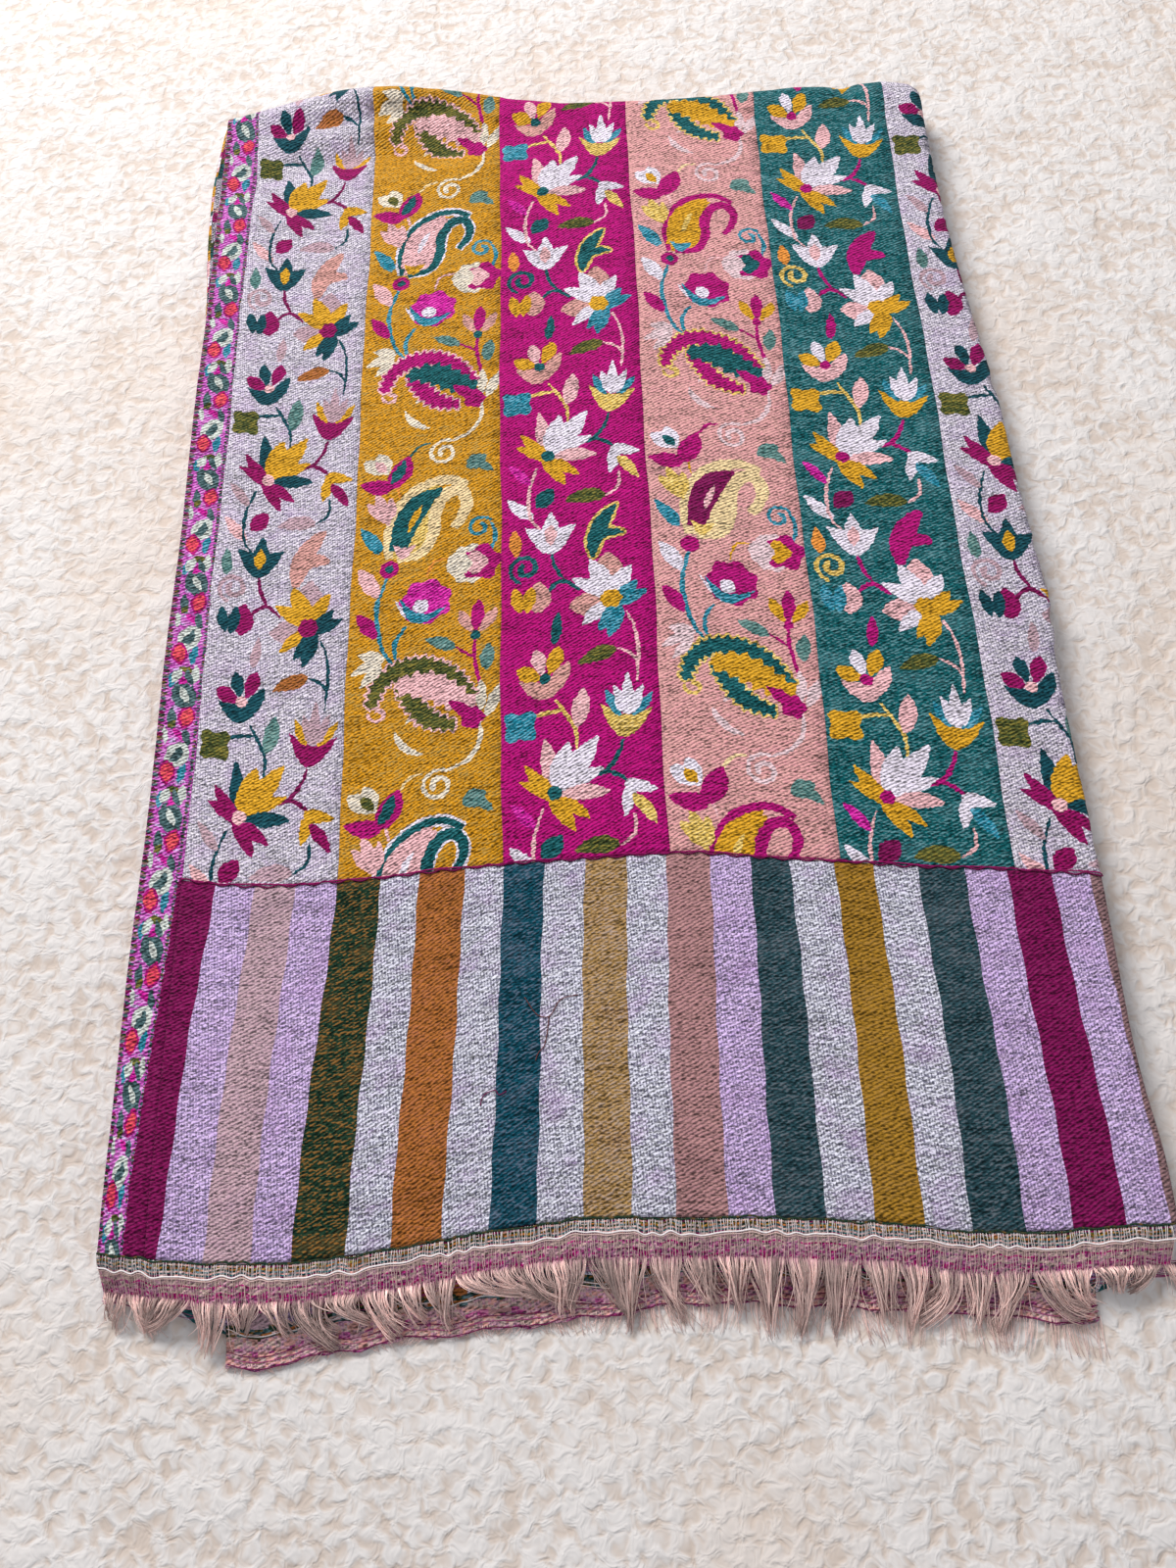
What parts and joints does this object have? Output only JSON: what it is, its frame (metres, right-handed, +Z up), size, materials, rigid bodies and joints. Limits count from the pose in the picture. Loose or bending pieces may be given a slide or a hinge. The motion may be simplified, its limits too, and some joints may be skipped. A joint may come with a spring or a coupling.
{
  "type": "pashmina shawl, folded flat",
  "caption": "Woven wool shawl with flowered bands, a striped end, a patterned selvedge band and short fringe, folded in three and in four and lying flat.",
  "frame": {"origin": "centre of the bounding box on the surface it lies on", "axes": "+Z up, +Y from the fringed end to the back fold, +X from the selvedge band to the right-hand fold"},
  "size_m": [0.342, 0.5594, 0.0239],
  "materials": {
    "field": "fine wool twill, woven flowers on bands of white, mustard, magenta, pink and teal",
    "stripes": "light open wool weave with coloured stripes",
    "band": "tightly woven pink selvedge band with small leaves",
    "layers": "fine wool twill, folded edges",
    "hem": "magenta weft rows at the hem",
    "fringe": "soft loose wool yarn ends"
  },
  "bodies": {
    "root": {"field_cloth": "field", "end_panel": "stripes", "side_band": "band", "folded_stack": "layers", "under_hem": "hem", "fringe_top": "fringe", "fringe_lower": "fringe"}
  },
  "joints": []
}
